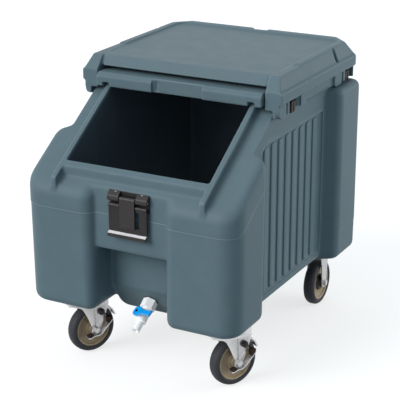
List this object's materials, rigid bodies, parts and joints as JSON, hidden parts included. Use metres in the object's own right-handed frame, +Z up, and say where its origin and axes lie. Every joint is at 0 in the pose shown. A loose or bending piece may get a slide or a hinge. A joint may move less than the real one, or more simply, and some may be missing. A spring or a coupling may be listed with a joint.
{
  "type": "mobile ice bin",
  "caption": "Double-walled slant-front ice bin on casters, with a fixed top lid, a sliding front lid, a draw latch and a drain faucet.",
  "frame": {"origin": "on the floor under the middle of the bin", "axes": "+Z up, the slanted front faces -Y, +X is to the right of someone who looks at the front"},
  "size_m": [0.584, 0.75, 0.745],
  "materials": {
    "slate": "satin",
    "foam": "matte",
    "nylon_black": "satin",
    "nylon_brown": "satin",
    "white_plastic": "satin",
    "blue_plastic": "satin",
    "seal_rubber": "matte",
    "zinc": "polished",
    "tyre": "matte",
    "hub_plastic": "satin"
  },
  "bodies": {
    "bin": {"body_shell": "slate", "foam_core": "foam", "fill_plug_front": "slate", "fill_plug_rear": "slate", "drain_shelf": "slate", "top_lid": "slate", "lid_foam_core": "foam", "lid_fill_plug": "slate", "lid_bolt_front_left": "nylon_brown", "lid_bolt_rear_left": "nylon_brown", "lid_bolt_front_right": "nylon_brown", "lid_bolt_rear_right": "nylon_brown", "latch_base": "nylon_black", "latch_pin": "zinc", "latch_screw_left": "zinc", "latch_screw_right": "zinc", "drain_bulkhead": "white_plastic", "drain_gasket": "seal_rubber", "drain_lock_nut": "white_plastic", "union_nut": "white_plastic", "faucet_body": "white_plastic", "front_left_studs": "zinc", "front_left_top_plate": "zinc", "front_left_swivel_race": "zinc", "front_left_kingpin": "zinc", "front_right_studs": "zinc", "front_right_top_plate": "zinc", "front_right_swivel_race": "zinc", "front_right_kingpin": "zinc", "rear_left_studs": "zinc", "rear_left_fork": "zinc", "rear_left_axle": "zinc", "rear_right_studs": "zinc", "rear_right_fork": "zinc", "rear_right_axle": "zinc"},
    "front_lid": {"front_lid": "slate"},
    "latch_lever": {"latch_lever": "nylon_black", "latch_bar": "nylon_black"},
    "latch_hook": {"latch_hook": "nylon_black"},
    "faucet_valve": {"faucet_ball": "white_plastic", "faucet_handle": "blue_plastic"},
    "front_left_swivel": {"front_left_fork": "zinc", "front_left_axle": "zinc"},
    "front_left_wheel": {"front_left_hub": "hub_plastic", "front_left_tyre": "tyre"},
    "front_left_brake_rocker": {"front_left_brake_rocker": "zinc"},
    "front_left_brake_shoe": {"front_left_brake_shoe": "zinc"},
    "front_right_swivel": {"front_right_fork": "zinc", "front_right_axle": "zinc"},
    "front_right_wheel": {"front_right_hub": "hub_plastic", "front_right_tyre": "tyre"},
    "front_right_brake_rocker": {"front_right_brake_rocker": "zinc"},
    "front_right_brake_shoe": {"front_right_brake_shoe": "zinc"},
    "rear_left_wheel": {"rear_left_hub": "hub_plastic", "rear_left_tyre": "tyre"},
    "rear_right_wheel": {"rear_right_hub": "hub_plastic", "rear_right_tyre": "tyre"}
  },
  "joints": [
    {"name": "front_lid_slide", "type": "slide", "parent": "bin", "child": "front_lid", "axis": [0, -1, 0], "range_m": [0, 0.2]},
    {"name": "latch_lever_hinge", "type": "hinge", "parent": "bin", "child": "latch_lever", "pos_m": [0, -0.3605, 0.474], "axis": [-1, 0, 0], "range_deg": [0, 120]},
    {"name": "latch_hook_hinge", "type": "hinge", "parent": "latch_lever", "child": "latch_hook", "pos_m": [0, -0.3615, 0.457], "axis": [-1, 0, 0], "range_deg": [0, 90]},
    {"name": "faucet_valve_hinge", "type": "hinge", "parent": "bin", "child": "faucet_valve", "pos_m": [0, -0.29854, 0.15214], "axis": [0.4226, 0.5028, -0.7541], "range_deg": [0, 90]},
    {"name": "front_left_swivel_hinge", "type": "hinge", "parent": "bin", "child": "front_left_swivel", "pos_m": [-0.204, -0.28, 0.15], "axis": [0, 0, 1], "continuous": true},
    {"name": "front_right_swivel_hinge", "type": "hinge", "parent": "bin", "child": "front_right_swivel", "pos_m": [0.204, -0.28, 0.15], "axis": [0, 0, 1], "continuous": true},
    {"name": "front_left_wheel_hinge", "type": "hinge", "parent": "front_left_swivel", "child": "front_left_wheel", "pos_m": [-0.18675, -0.24614, 0.0635], "axis": [0.891, -0.454, 0], "continuous": true},
    {"name": "front_right_wheel_hinge", "type": "hinge", "parent": "front_right_swivel", "child": "front_right_wheel", "pos_m": [0.22125, -0.24614, 0.0635], "axis": [0.891, -0.454, 0], "continuous": true},
    {"name": "front_left_brake_rocker_hinge", "type": "hinge", "parent": "front_left_swivel", "child": "front_left_brake_rocker", "pos_m": [-0.18675, -0.24614, 0.0635], "axis": [-0.891, 0.454, 0], "range_deg": [0, 12]},
    {"name": "front_right_brake_rocker_hinge", "type": "hinge", "parent": "front_right_swivel", "child": "front_right_brake_rocker", "pos_m": [0.22125, -0.24614, 0.0635], "axis": [-0.891, 0.454, 0], "range_deg": [0, 12]},
    {"name": "front_left_brake_shoe_hinge", "type": "hinge", "parent": "front_left_swivel", "child": "front_left_brake_shoe", "pos_m": [-0.17211, -0.21742, 0.12676], "axis": [-0.891, 0.454, 0], "range_deg": [0, 3]},
    {"name": "front_right_brake_shoe_hinge", "type": "hinge", "parent": "front_right_swivel", "child": "front_right_brake_shoe", "pos_m": [0.23589, -0.21742, 0.12676], "axis": [-0.891, 0.454, 0], "range_deg": [0, 3]},
    {"name": "rear_left_wheel_hinge", "type": "hinge", "parent": "bin", "child": "rear_left_wheel", "pos_m": [-0.204, 0.305, 0.0635], "axis": [1, 0, 0], "continuous": true},
    {"name": "rear_right_wheel_hinge", "type": "hinge", "parent": "bin", "child": "rear_right_wheel", "pos_m": [0.204, 0.305, 0.0635], "axis": [1, 0, 0], "continuous": true}
  ],
  "couplings": [
    {"joint": "front_left_brake_shoe_hinge", "follows": "front_left_brake_rocker_hinge", "ratio": 0.25},
    {"joint": "front_right_brake_shoe_hinge", "follows": "front_right_brake_rocker_hinge", "ratio": 0.25}
  ]
}
